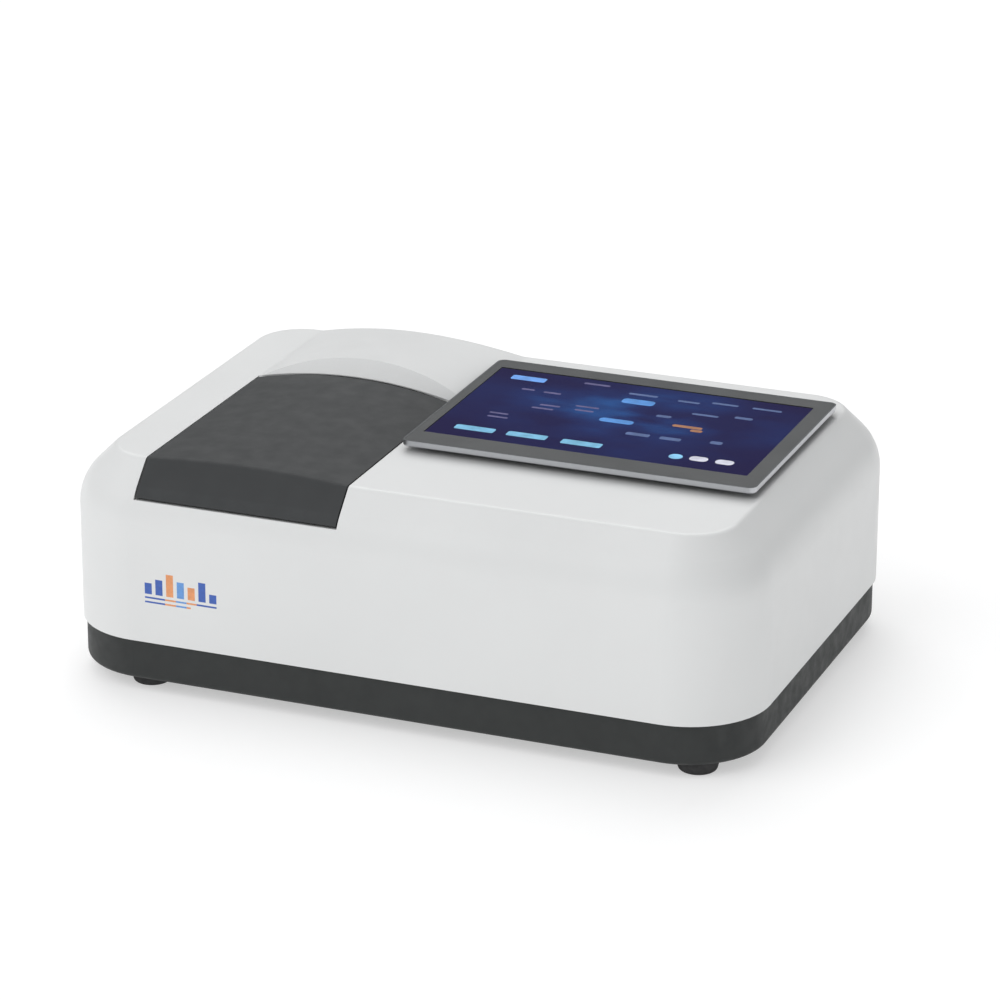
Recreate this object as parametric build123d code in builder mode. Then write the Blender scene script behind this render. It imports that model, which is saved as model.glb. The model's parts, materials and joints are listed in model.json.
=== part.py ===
from build123d import *

import os
from math import cos, hypot, radians, sin, sqrt

# Benchtop UV-visible spectrophotometer with a hinged sample compartment lid and a flat touch display.
#
# Millimetres. +X is the operator's right, +Y the back and +Z up. The origin is on the bench, under the middle
# of the instrument. Light runs from the lamp house on the right through the filter wheel and the
# monochromator, across the sample chamber along -X, and into the detector on the left.

os.makedirs("parts", exist_ok=True)

# ---------------------------------------------------------------- driving dimensions
# Housing and base
BODY_W, BODY_D, BODY_R = 464.0, 322.0, 54.0  # housing plan and its corner radius
WALL = 3.0
SEAM_Z = 36.0  # where the housing meets the base
TOP_Z = 152.0  # flat top of the housing
BEVEL = 24.0  # 45 degree bevel between the walls and the top
KNEE_SOFT, RIM_SOFT = 36.0, 5.0  # rounding at the foot and the head of the bevel
BASE_W, BASE_D, BASE_R = 460.0, 318.0, 52.0
BASE_SOFT = 4.0
LIP_H = 3.0  # the base's lip that locates the housing
FOOT_H, FOOT_R = 8.5, 14.0
FOOT_X, FOOT_Y = {"left": -175.0, "right": 196.0}, {"front": -137.0, "rear": 137.0}
FLOOR_Z = FOOT_H + WALL  # top of the base's floor
CORNER_X, CORNER_Y = BODY_W / 2 - BODY_R, BODY_D / 2 - BODY_R
BOSS_X, BOSS_Y, BOSS_R = CORNER_X + 31.8, CORNER_Y + 31.8, 6.5  # screw bosses in the corners
SCREW_R, HEAD_R = 1.5, 3.0
SOCKET_R, SOCKET_DEPTH = 1.4, 1.1  # hexagon socket in each screw head

# Lid of the sample compartment, and the crown of the housing behind it
LID_X = (-174.3, -37.0)
LID_GAP = 1.0
LID_BACK, LID_FOOT = 30.0, 131.5
LID_CX = (LID_X[0] + LID_X[1]) / 2
LID_BACK_GAP = 3.2  # from the lid's rear edge to the slope of the crown
CROWN_Y = LID_BACK + LID_BACK_GAP  # the crown starts here
SLOPE_RUN_OUT = 3.0  # how far the slope runs on, forward and down, into the hinge well
REACH = 170.0
# Each arch across the top: its middle, half its width, the y of its two ends, its rise at each of them, and
# the radius that eases it into the flat top, or 0 for none.
LID_ARCH = (LID_CX, 69.15, (-REACH, REACH), (1.0, 13.4), 0.0)
CROWN_ARCH = (-100.5, 75.5, (CROWN_Y - 10, REACH), (19.2, 9.0), 10.0)
RECESS_Z = 130.0  # floor of the recess that the lid closes
HINGE_Y, HINGE_Z = 23.0, 144.5
PIN_R, RUN_GAP = 2.0, 0.05
EAR_X, EAR_T, EAR_R = (-160.0, -50.0), 4.0, 6.0
LUG_T, LUG_GAP, LUG_R = 3.0, 0.3, 5.0

# Sample chamber and cell changer
DECK_Z = 30.0  # top of the optical base
CAVITY_X, CAVITY_Y = (-163.0, -47.0), (-138.0, 8.0)
BEAM_Y, BEAM_Z = -66.0, 80.0
CELLS, CELL_PITCH, CELL_SIDE, CELL_FLOOR = 4, 18.0, 13.0, 60.0
CHANGER_X, GUIDE_Z, GUIDE_SPREAD, GUIDE_R = -105.0, 48.0, 15.0, 3.0
CARRIAGE_TOP = 104.0

# Optics on the right
MONO_X, MONO_Y, MONO_TOP, MONO_WALL = (-30.0, 110.0), (-120.0, 40.0), 100.0, 4.0
INLET_Y = 10.0  # light enters the monochromator here
GRATING_X, GRATING_Y = 80.0, -16.0
WHEEL_X, WHEEL_Y, WHEEL_R, WHEEL_PITCH_R, FILTERS = 142.0, INLET_Y + 24.0, 32.5, 24.0, 6
LAMP_X, LAMP_Y, LAMP_TOP = (150.0, 198.0), (-60.0, 50.0), 110.0
SELECTOR_X, LAMP_SPREAD = 174.0, 36.0  # turning mirror, and how far the two lamps stand from it
MOTOR_SIDE, MOTOR_SHAFT_R, SHAFT_REACH = 28.0, 2.5, 20.0

# Display
DISPLAY_X, DISPLAY_Y, DISPLAY_R = (-31.0, 205.0), (-66.0, 105.0), 5.0
DISPLAY_EDGE, DISPLAY_GAP, GLASS_T = 4.0, 3.5, 1.2
ACTIVE_W, ACTIVE_D = 217.0, 136.0  # 10.1 inch, 16:10
ACTIVE_X, ACTIVE_Y = 84.7, 22.3

# Rear panel and what it carries
REAR_OPEN_X, REAR_OPEN_Z = 170.0, (44.0, 106.0)
PANEL_T, PANEL_X, PANEL_Z = 1.5, 178.0, (40.0, 112.0)
FAN_X, FAN_Z, FAN_SIDE, FAN_DEPTH, FAN_BORE = 138.0, 76.0, 60.0, 25.0, 28.0
BLADES = 7
INLET_X, SWITCH_X, POWER_Z = -135.0, -92.0, 76.0
BOARD_X, BOARD_Y, BOARD_Z, BOARD_T = (-20.0, 130.0), (70.0, 150.0), 44.0, 1.6
PORTS = ((10.0, 14.5, 7.0), (31.0, 14.5, 7.0), (53.0, 12.0, 11.0), (84.0, 31.0, 12.5))  # x, width and height

# Printed mark on the front: where each bar starts and how tall it is, then the two rules under them
BADGE_X, BADGE_Z, BADGE_T = -167.0, 63.5, 0.4
BADGE_BARS = ((0.0, 7.5), (7.5, 10.5), (15.0, 15.0), (22.5, 11.0), (30.0, 8.5), (37.5, 13.0), (45.0, 6.0))
BADGE_RULES = ((3.6, 50.0), (0.6, 32.0))

INNER_BACK = BODY_D / 2 - WALL
PANEL_SCREWS = [(sx * 174, z) for sx in (-1, 1) for z in (50, 100)] + [(-80, 109), (80, 109)]
PANEL_HEAD_R = 2.8
PANEL_Y = (INNER_BACK - PANEL_T, INNER_BACK)
DISPLAY_CX, DISPLAY_CY = sum(DISPLAY_X) / 2, sum(DISPLAY_Y) / 2
DISPLAY_W, DISPLAY_D = DISPLAY_X[1] - DISPLAY_X[0], DISPLAY_Y[1] - DISPLAY_Y[0]
FRAME_Z = TOP_Z + DISPLAY_GAP
DISPLAY_TOP = FRAME_Z + DISPLAY_EDGE

TURN = {"X": (0, 90, 0), "Y": (-90, 0, 0), "Z": (0, 0, 0)}


# ---------------------------------------------------------------- shared shapes
def block(x, y, z, mode=Mode.ADD):
    """A box given by its limits along each axis."""
    with Locations(((x[0] + x[1]) / 2, (y[0] + y[1]) / 2, (z[0] + z[1]) / 2)):
        Box(x[1] - x[0], y[1] - y[0], z[1] - z[0], mode=mode)


def rod(start, radius, length, axis="Z", mode=Mode.ADD):
    """A cylinder that starts at a point and runs along +X, +Y or +Z."""
    with Locations(Location(start, TURN[axis])):
        Cylinder(radius, length, align=(Align.CENTER, Align.CENTER, Align.MIN), mode=mode)


def around(centre, half):
    """Limits of a span given by its middle and half its width."""
    return (centre - half, centre + half)


def grown(span, by):
    """A span with both ends moved out."""
    return (span[0] - by, span[1] + by)


def arch_rise(arch, y):
    """Height of an arch at y, which changes evenly from one end to the other."""
    ends, rises = arch[2:4]
    return rises[0] + (rises[1] - rises[0]) * (y - ends[0]) / (ends[1] - ends[0])


def crown_line(top, middle, half, rise, blend):
    """Draw the top of the housing from side to side, inside an open BuildLine: flat, with one arch."""
    left, right = (middle - half, top), (middle + half, top)
    crest = (middle, top + rise)
    if blend:
        whole_r = (half**2 + rise**2) / (2 * rise)
        crown_r = whole_r - blend
        centre_z = top + rise - crown_r
        reach_x = half * crown_r / whole_r
        reach_z = centre_z + (top + blend - centre_z) * crown_r / whole_r
        from_left, from_right = (middle - reach_x, reach_z), (middle + reach_x, reach_z)
        TangentArc(left, from_left, tangent=(1, 0))
        ThreePointArc(from_left, crest, from_right)
        TangentArc(right, from_right, tangent=(-1, 0))
    else:
        ThreePointArc(left, crest, right)
    return left, right


def arched_form(inset, arch):
    """Upright walls, a bevel all round, and a flat top with an arch across it, between the arch's two ends,
    all drawn in by inset."""
    middle, half, ends, rises, blend = arch
    top = TOP_Z - inset
    foot = SEAM_Z - inset
    headroom = 22.0
    bevel = BEVEL - inset * (2 - sqrt(2))
    with BuildPart() as form:
        with BuildSketch(Plane.XY.offset(foot)):
            RectangleRounded(BODY_W - 2 * inset, BODY_D - 2 * inset, BODY_R - inset)
        extrude(amount=top + headroom - foot)
        chamfer(form.edges().group_by(Axis.Z)[-1], length=bevel + headroom)
        for y, rise in zip(ends, rises):
            with BuildSketch(Plane.XZ.offset(-y)):
                with BuildLine():
                    left, right = crown_line(top, middle, half, rise, blend)
                    Polyline(right, (BODY_W, top), (BODY_W, foot - 1), (-BODY_W, foot - 1))
                    Polyline((-BODY_W, foot - 1), (-BODY_W, top), left)
                make_face()
        loft(ruled=True, mode=Mode.INTERSECT)
        knee_z = top - bevel
        fillet(form.edges().filter_by_position(Axis.Z, knee_z - 0.1, knee_z + 0.1), KNEE_SOFT - inset)
    return form.part


def flat_form(inset):
    """Upright walls, a bevel all round and a flat top, all drawn in by inset."""
    top = TOP_Z - inset
    foot = SEAM_Z - inset
    bevel = BEVEL - inset * (2 - sqrt(2))
    with BuildPart() as form:
        with BuildSketch(Plane.XY.offset(foot)):
            RectangleRounded(BODY_W - 2 * inset, BODY_D - 2 * inset, BODY_R - inset)
        extrude(amount=top - foot)
        chamfer(form.edges().group_by(Axis.Z)[-1], length=bevel)
        fillet(form.edges().group_by(Axis.Z)[-1], RIM_SOFT - inset)
        knee_z = top - bevel
        fillet(form.edges().filter_by_position(Axis.Z, knee_z - 0.1, knee_z + 0.1), KNEE_SOFT - inset)
    return form.part


def housing_form(inset):
    """The closed form of the housing, drawn in by inset: flat in front of the crown and arched behind."""
    everything = (-BODY_W, BODY_W)
    rim_x = BODY_W / 2 - BEVEL - WALL
    with BuildPart() as form:
        add(flat_form(inset))
        block(everything, (-BODY_D, CROWN_Y), (0, 2 * TOP_Z), Mode.INTERSECT)
        with BuildPart(mode=Mode.PRIVATE) as rear:
            add(arched_form(inset, CROWN_ARCH))
            rim = rear.edges().filter_by(lambda e: e.bounding_box().min.Z > TOP_Z - inset - 0.01)
            rim = rim.filter_by(lambda e: e.bounding_box().size.X > 0.1 or abs(e.center().X) > rim_x)
            fillet(rim.filter_by(lambda e: e.center().Y > CROWN_Y), RIM_SOFT - inset)
            block(everything, (CROWN_Y, BODY_D), (0, 2 * TOP_Z), Mode.INTERSECT)
        add(rear.part)
    return form.part


def above_lid(extra):
    """Everything above the slope that climbs back at 45 degrees behind the arched rear edge of the lid, grown
    by extra. The slope's foot runs out in the hinge well."""
    x = grown(LID_X, LID_GAP + extra)
    rise = arch_rise(LID_ARCH, LID_BACK)
    right_x = CROWN_ARCH[0] + CROWN_ARCH[1] + extra
    high = TOP_Z + 2 * BEVEL
    start_y = CROWN_Y + extra * sqrt(2)
    foot_z = TOP_Z - SLOPE_RUN_OUT
    with BuildPart() as slope:
        with BuildSketch(Plane.XZ.offset(SLOPE_RUN_OUT - start_y)):
            with BuildLine():
                ThreePointArc((x[0], foot_z), (LID_CX, foot_z + rise), (x[1], foot_z))
                Polyline((x[1], foot_z), (x[1], high), (x[0], high), (x[0], foot_z))
            make_face()
        extrude(amount=BEVEL + SLOPE_RUN_OUT, dir=(0, 1, 1))
        with BuildSketch(Plane.XZ.offset(-start_y)):
            with Locations(((x[1] + right_x) / 2, (TOP_Z + high) / 2)):
                Rectangle(right_x - x[1], high - TOP_Z)
        extrude(amount=BEVEL, dir=(0, 1, 1))
    return slope.part


def recess(extra):
    """Limits of the box that the lid closes, open to the front and above, grown by extra."""
    return grown(LID_X, LID_GAP + extra), (-BODY_D, LID_BACK + LID_GAP + extra), (RECESS_Z - extra, 2 * TOP_Z)


def hinge_well(extra):
    """The barrel that the lid's arched rear edge sweeps as it swings, grown by extra."""
    rise = arch_rise(LID_ARCH, LID_BACK)
    reach = LID_BACK - HINGE_Y
    side_r = hypot(reach, TOP_Z - HINGE_Z) + extra
    mid_r = hypot(reach, TOP_Z + rise - HINGE_Z) + extra
    x = grown(LID_X, extra)
    axis_plane = Plane(origin=(0, HINGE_Y, HINGE_Z), x_dir=(1, 0, 0), z_dir=(0, -1, 0))
    with BuildPart() as well:
        with BuildSketch(axis_plane):
            with BuildLine():
                ThreePointArc((x[0], side_r), (LID_CX, mid_r), (x[1], side_r))
                Polyline((x[1], side_r), (x[1], 0), (x[0], 0), (x[0], side_r))
            make_face()
        revolve(axis=Axis((0, HINGE_Y, HINGE_Z), (1, 0, 0)))
    return well.part


def corner_points():
    """The four housing screws."""
    return [(sx * BOSS_X, sy * BOSS_Y) for sx in (-1, 1) for sy in (-1, 1)]


def foot_points():
    """The four feet."""
    return [(x, y) for x in FOOT_X.values() for y in FOOT_Y.values()]


# ---------------------------------------------------------------- base, feet and optical base
with BuildPart() as base_tray:
    with BuildSketch(Plane.XY.offset(FOOT_H)):
        RectangleRounded(BASE_W, BASE_D, BASE_R)
    extrude(amount=SEAM_Z - FOOT_H)
    fillet(base_tray.edges().group_by(Axis.Z)[0], BASE_SOFT)
    with BuildSketch(Plane.XY.offset(FLOOR_Z)):
        RectangleRounded(BASE_W - 2 * WALL, BASE_D - 2 * WALL, BASE_R - WALL)
    extrude(amount=SEAM_Z - FLOOR_Z, mode=Mode.SUBTRACT)
    lip_w, lip_d, lip_r = BODY_W - 2 * WALL - 0.4, BODY_D - 2 * WALL - 0.4, BODY_R - WALL - 0.2
    with BuildSketch(Plane.XY.offset(SEAM_Z - LIP_H)):
        RectangleRounded(lip_w, lip_d, lip_r)
        RectangleRounded(lip_w - 5, lip_d - 5, lip_r - 2.5, mode=Mode.SUBTRACT)
    extrude(amount=2 * LIP_H)
    for x, y in corner_points():
        rod((x, y, SEAM_Z), BOSS_R + 0.5, LIP_H, mode=Mode.SUBTRACT)
        rod((x, y, FLOOR_Z), BOSS_R, SEAM_Z - FLOOR_Z)
        rod((x, y, FOOT_H), HEAD_R, 5, mode=Mode.SUBTRACT)
        rod((x, y, FOOT_H), SCREW_R, SEAM_Z - FOOT_H, mode=Mode.SUBTRACT)
    for x, y in foot_points():
        rod((x, y, FOOT_H), 5.5, 11)
        rod((x, y, FOOT_H), SCREW_R, 10, mode=Mode.SUBTRACT)
base_tray.part.label = "base_tray"
export_step(base_tray.part, "parts/base_tray.step")

for side, x in FOOT_X.items():
    for end, y in FOOT_Y.items():
        with BuildPart() as foot:
            with Locations((x, y, 0)):
                Cone(FOOT_R - 2, FOOT_R, FOOT_H, align=(Align.CENTER, Align.CENTER, Align.MIN))
            fillet(foot.edges().sort_by(Axis.Z)[0], 2.5)
            rod((x, y, 0), HEAD_R, 4, mode=Mode.SUBTRACT)
            rod((x, y, 0), SCREW_R, FOOT_H, mode=Mode.SUBTRACT)
        foot.part.label = f"foot_{end}_{side}"
        export_step(foot.part, f"parts/foot_{end}_{side}.step")

with BuildPart() as base_screws:
    for x, y in foot_points():
        rod((x, y, 1.5), HEAD_R, 2.5)
        rod((x, y, 4), SCREW_R, 13)
    for x, y in corner_points():
        rod((x, y, FOOT_H + 2), HEAD_R, 3)
        rod((x, y, FOOT_H + 5), SCREW_R, 34)
    for z, points in ((1.5, foot_points()), (FOOT_H + 2, corner_points())):
        with BuildSketch(Plane.XY.offset(z)):
            with Locations(*points):
                RegularPolygon(SOCKET_R, 6)
        extrude(amount=SOCKET_DEPTH, mode=Mode.SUBTRACT)
base_screws.part.label = "base_screws"
export_step(base_screws.part, "parts/base_screws.step")

with BuildPart() as isolation_mounts:
    for x in (-180, 180):
        for y in (-112, 45):
            rod((x, y, FLOOR_Z), 9, 10)
isolation_mounts.part.label = "isolation_mounts"
export_step(isolation_mounts.part, "parts/isolation_mounts.step")

with BuildPart() as optical_base:
    block((-200, 202), (CAVITY_Y[0] - WALL, 62), (FLOOR_Z + 10, DECK_Z))
    fillet(optical_base.edges().filter_by(Axis.Z), 8)
    chamfer(optical_base.faces().sort_by(Axis.Z)[-1].edges(), 1)
optical_base.part.label = "optical_base"
export_step(optical_base.part, "parts/optical_base.step")

# ---------------------------------------------------------------- housing
def badge_shapes():
    """A small bar spectrum over two rules, drawn inside an open BuildSketch on the front face."""
    for across, height in BADGE_BARS:
        with Locations((BADGE_X + across + 2.5, BADGE_Z + 6 + height / 2)):
            Rectangle(5, height)
    for above, length in BADGE_RULES:
        with Locations((BADGE_X + length / 2, BADGE_Z + above)):
            Rectangle(length, 1.2)


with BuildPart() as upper_housing:
    add(housing_form(0))
    with BuildPart(mode=Mode.PRIVATE) as hollow:
        add(housing_form(WALL))
        block(*recess(WALL), Mode.SUBTRACT)
        add(above_lid(WALL), mode=Mode.SUBTRACT)
        add(hinge_well(LID_GAP + WALL), mode=Mode.SUBTRACT)
    add(hollow.part, mode=Mode.SUBTRACT)
    block(*recess(0), Mode.SUBTRACT)
    add(above_lid(0), mode=Mode.SUBTRACT)
    add(hinge_well(LID_GAP), mode=Mode.SUBTRACT)
    block(grown(CAVITY_X, WALL), grown(CAVITY_Y, WALL), (RECESS_Z - 2 * WALL, RECESS_Z + 1), Mode.SUBTRACT)
    block((60, 120), (40, 60), (TOP_Z - 2 * WALL, TOP_Z + 1), Mode.SUBTRACT)
    block((-REAR_OPEN_X, REAR_OPEN_X), (INNER_BACK - 1, BODY_D), REAR_OPEN_Z, Mode.SUBTRACT)
    for x, z in PANEL_SCREWS:
        rod((x, INNER_BACK, z), SCREW_R, WALL, "Y", Mode.SUBTRACT)
        rod((x, INNER_BACK + 1.4, z), PANEL_HEAD_R, WALL, "Y", Mode.SUBTRACT)
    for x, y in corner_points():
        rod((x, y, SEAM_Z), BOSS_R, 27)
        rod((x, y, SEAM_Z), SCREW_R, 20, mode=Mode.SUBTRACT)
    with BuildSketch(Plane.XZ.offset(BODY_D / 2)):
        badge_shapes()
    extrude(amount=-BADGE_T, mode=Mode.SUBTRACT)
upper_housing.part.label = "upper_housing"
export_step(upper_housing.part, "parts/upper_housing.step")

with BuildPart() as front_badge:
    with BuildSketch(Plane.XZ.offset(BODY_D / 2)):
        badge_shapes()
    extrude(amount=-BADGE_T)
front_badge.part.label = "front_badge"
export_step(front_badge.part, "parts/front_badge.step")

# ---------------------------------------------------------------- lid and its hinges
RIM_X, RIM_Y, RIM_T, RIM_FOOT = (-168.5, -41.0), (-150.0, 10.0), 2.5, RECESS_Z + 2.2
with BuildPart() as compartment_lid:
    add(arched_form(0, LID_ARCH))
    block(LID_X, (-BODY_D, LID_BACK), (LID_FOOT, 2 * TOP_Z), Mode.INTERSECT)
    high = compartment_lid.edges().filter_by(lambda e: e.bounding_box().min.Z > TOP_Z - 1)
    front = high.filter_by(lambda e: e.center().Y < 0 and e.bounding_box().size.Y < 5)
    fillet(front, RIM_SOFT)
    with BuildPart(mode=Mode.PRIVATE) as under_lid:
        add(arched_form(WALL, LID_ARCH))
        with BuildPart(mode=Mode.PRIVATE) as rim:
            block(RIM_X, RIM_Y, (RIM_FOOT, 2 * TOP_Z))
            block(grown(RIM_X, -RIM_T), grown(RIM_Y, -RIM_T), (RIM_FOOT, 2 * TOP_Z), Mode.SUBTRACT)
            for x in EAR_X:
                block(around(x, EAR_T / 2), around(HINGE_Y, EAR_R), (HINGE_Z, 2 * TOP_Z))
                rod((x - EAR_T / 2, HINGE_Y, HINGE_Z), EAR_R, EAR_T, "X")
        add(rim.part, mode=Mode.SUBTRACT)
    add(under_lid.part, mode=Mode.SUBTRACT)
    for x in EAR_X:
        rod((x - EAR_T / 2, HINGE_Y, HINGE_Z), PIN_R + RUN_GAP, EAR_T, "X", Mode.SUBTRACT)
compartment_lid.part.label = "compartment_lid"
export_step(compartment_lid.part, "parts/compartment_lid.step")

with BuildPart() as hinge_brackets:
    for x in EAR_X:
        near, far = EAR_T / 2 + LUG_GAP, EAR_T / 2 + LUG_GAP + LUG_T
        block(around(x, far), (HINGE_Y - 8, HINGE_Y + 8), (RECESS_Z, RECESS_Z + 2.5))
        for span in ((x - far, x - near), (x + near, x + far)):
            block(span, around(HINGE_Y, LUG_R), (RECESS_Z, HINGE_Z))
            rod((span[0], HINGE_Y, HINGE_Z), LUG_R, LUG_T, "X")
        rod((x - far, HINGE_Y, HINGE_Z), PIN_R, 2 * far, "X", Mode.SUBTRACT)
hinge_brackets.part.label = "hinge_brackets"
export_step(hinge_brackets.part, "parts/hinge_brackets.step")

with BuildPart() as hinge_pins:
    for x in EAR_X:
        far = EAR_T / 2 + LUG_GAP + LUG_T
        rod((x - far, HINGE_Y, HINGE_Z), PIN_R, 2 * far, "X")
hinge_pins.part.label = "hinge_pins"
export_step(hinge_pins.part, "parts/hinge_pins.step")

with BuildPart() as lid_seal:
    block((-170.5, -39.0), (-152.0, 12.0), (RECESS_Z, RECESS_Z + 2))
    block((-165.5, -44.0), (-147.0, 9.0), (RECESS_Z, RECESS_Z + 2), Mode.SUBTRACT)
    fillet(lid_seal.edges().filter_by(Axis.Z), 1.5)
lid_seal.part.label = "lid_seal"
export_step(lid_seal.part, "parts/lid_seal.step")

# ---------------------------------------------------------------- sample chamber and cell changer
WINDOW_R, WINDOW_T = 8.0, 1.5
LEFT_WALL, RIGHT_WALL = CAVITY_X[0] - WALL, CAVITY_X[1] + WALL
SUPPORT_L = 6.0
SCREW_END_Y = CAVITY_Y[1] + WALL + SHAFT_REACH
with BuildPart() as sample_chamber:
    block(grown(CAVITY_X, WALL), grown(CAVITY_Y, WALL), (DECK_Z, RECESS_Z))
    fillet(sample_chamber.edges().filter_by(Axis.Z), WALL)
    block(CAVITY_X, CAVITY_Y, (DECK_Z + WALL, RECESS_Z), Mode.SUBTRACT)
    rod((LEFT_WALL, BEAM_Y, BEAM_Z), WINDOW_R - 2, RIGHT_WALL - LEFT_WALL, "X", Mode.SUBTRACT)
    rod((LEFT_WALL, BEAM_Y, BEAM_Z), WINDOW_R, WINDOW_T, "X", Mode.SUBTRACT)
    rod((RIGHT_WALL - WINDOW_T, BEAM_Y, BEAM_Z), WINDOW_R, WINDOW_T, "X", Mode.SUBTRACT)
    rod((CHANGER_X, CAVITY_Y[1], GUIDE_Z), GUIDE_R + 1, WALL, "Y", Mode.SUBTRACT)
sample_chamber.part.label = "sample_chamber"
export_step(sample_chamber.part, "parts/sample_chamber.step")

with BuildPart() as chamber_windows:
    for x in (LEFT_WALL, RIGHT_WALL - WINDOW_T):
        rod((x, BEAM_Y, BEAM_Z), WINDOW_R, WINDOW_T, "X")
chamber_windows.part.label = "chamber_windows"
export_step(chamber_windows.part, "parts/chamber_windows.step")

GUIDES = (CHANGER_X - GUIDE_SPREAD, CHANGER_X + GUIDE_SPREAD)
CARRIAGE_X = around(CHANGER_X, GUIDE_SPREAD + 7)
CARRIAGE_Y = (BEAM_Y - CELL_SIDE / 2 - 3.5, BEAM_Y + (CELLS - 1) * CELL_PITCH + CELL_SIDE / 2 + 3.5)
NUT_R = 6.0
with BuildPart() as guide_supports:
    for y in ((CAVITY_Y[0], CAVITY_Y[0] + SUPPORT_L), (CAVITY_Y[1] - SUPPORT_L, CAVITY_Y[1])):
        block(CARRIAGE_X, y, (DECK_Z + WALL, GUIDE_Z + 8))
        for x in GUIDES:
            rod((x, y[0], GUIDE_Z), GUIDE_R, SUPPORT_L, "Y", Mode.SUBTRACT)
        rod((CHANGER_X, y[0], GUIDE_Z), GUIDE_R + RUN_GAP, SUPPORT_L, "Y", Mode.SUBTRACT)
guide_supports.part.label = "guide_supports"
export_step(guide_supports.part, "parts/guide_supports.step")

with BuildPart() as guide_rods:
    for x in GUIDES:
        rod((x, CAVITY_Y[0], GUIDE_Z), GUIDE_R, CAVITY_Y[1] - CAVITY_Y[0], "Y")
guide_rods.part.label = "guide_rods"
export_step(guide_rods.part, "parts/guide_rods.step")

with BuildPart() as lead_screw:
    rod((CHANGER_X, CAVITY_Y[0] + 1, GUIDE_Z), GUIDE_R, SCREW_END_Y - CAVITY_Y[0] - 1, "Y")
lead_screw.part.label = "lead_screw"
export_step(lead_screw.part, "parts/lead_screw.step")

with BuildPart() as cell_carriage:
    block(CARRIAGE_X, CARRIAGE_Y, (GUIDE_Z - 7, CELL_FLOOR - 4))
    block(around(CHANGER_X, CELL_SIDE / 2 + 4.5), CARRIAGE_Y, (GUIDE_Z, CARRIAGE_TOP))
    fillet(cell_carriage.edges().filter_by(Axis.Z), 1.5)
    for cell in range(CELLS):
        y = BEAM_Y + cell * CELL_PITCH
        slot_y = around(y, CELL_SIDE / 2)
        block(around(CHANGER_X, CELL_SIDE / 2), slot_y, (CELL_FLOOR, CARRIAGE_TOP), Mode.SUBTRACT)
        block(CARRIAGE_X, around(y, 3), around(BEAM_Z, 8), Mode.SUBTRACT)
    for x in GUIDES:
        rod((x, CARRIAGE_Y[0], GUIDE_Z), GUIDE_R + RUN_GAP, CARRIAGE_Y[1] - CARRIAGE_Y[0], "Y", Mode.SUBTRACT)
    rod((CHANGER_X, CARRIAGE_Y[0], GUIDE_Z), NUT_R, CARRIAGE_Y[1] - CARRIAGE_Y[0], "Y", Mode.SUBTRACT)
cell_carriage.part.label = "cell_carriage"
export_step(cell_carriage.part, "parts/cell_carriage.step")

with BuildPart() as carriage_nut:
    rod((CHANGER_X, CARRIAGE_Y[1] - 14, GUIDE_Z), NUT_R, 14, "Y")
    rod((CHANGER_X, CARRIAGE_Y[1], GUIDE_Z), NUT_R + 1.5, 2.5, "Y")
    rod((CHANGER_X, CARRIAGE_Y[1] - 14, GUIDE_Z), GUIDE_R + RUN_GAP, 16.5, "Y", Mode.SUBTRACT)
carriage_nut.part.label = "carriage_nut"
export_step(carriage_nut.part, "parts/carriage_nut.step")

with BuildPart() as carriage_motor:
    motor_y = (CAVITY_Y[1] + WALL, CAVITY_Y[1] + WALL + MOTOR_SIDE)
    block(around(CHANGER_X, MOTOR_SIDE / 2), motor_y, around(GUIDE_Z, MOTOR_SIDE / 2))
    chamfer(carriage_motor.edges().filter_by(Axis.Y), 2.5)
    rod((CHANGER_X, motor_y[0], GUIDE_Z), GUIDE_R + RUN_GAP, SHAFT_REACH + 1, "Y", Mode.SUBTRACT)
carriage_motor.part.label = "carriage_motor"
export_step(carriage_motor.part, "parts/carriage_motor.step")

# ---------------------------------------------------------------- detector
DETECTOR_X, DETECTOR_Y = (LEFT_WALL - 26, LEFT_WALL), around(BEAM_Y, 16)
with BuildPart() as detector_housing:
    block(DETECTOR_X, DETECTOR_Y, (DECK_Z, MONO_TOP))
    chamfer(detector_housing.edges().filter_by(Axis.Z), 1.5)
    rod((DETECTOR_X[0], BEAM_Y, BEAM_Z), WINDOW_R, 26, "X", Mode.SUBTRACT)
detector_housing.part.label = "detector_housing"
export_step(detector_housing.part, "parts/detector_housing.step")

with BuildPart() as detector_board:
    block((DETECTOR_X[0] - BOARD_T, DETECTOR_X[0]), around(BEAM_Y, 24), (DECK_Z + 8, MONO_TOP + 8))
    rod((DETECTOR_X[0], BEAM_Y, BEAM_Z), 5.5, 6, "X")
    for step in range(3):
        chip_y = around(BEAM_Y - 14 + 14 * step, 4)
        block((DETECTOR_X[0] - 4, DETECTOR_X[0]), chip_y, (DECK_Z + 14, DECK_Z + 24))
detector_board.part.label = "detector_board"
export_step(detector_board.part, "parts/detector_board.step")

# ---------------------------------------------------------------- monochromator
with BuildPart() as monochromator_housing:
    block(MONO_X, MONO_Y, (DECK_Z, MONO_TOP))
    fillet(monochromator_housing.edges().filter_by(Axis.Z), 6)
    block(grown(MONO_X, -MONO_WALL), grown(MONO_Y, -MONO_WALL), (DECK_Z + MONO_WALL, MONO_TOP), Mode.SUBTRACT)
    rod((MONO_X[0], BEAM_Y, BEAM_Z), 5, MONO_WALL, "X", Mode.SUBTRACT)
    rod((MONO_X[1] - MONO_WALL, INLET_Y, BEAM_Z), 5, MONO_WALL, "X", Mode.SUBTRACT)
monochromator_housing.part.label = "monochromator_housing"
export_step(monochromator_housing.part, "parts/monochromator_housing.step")

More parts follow.
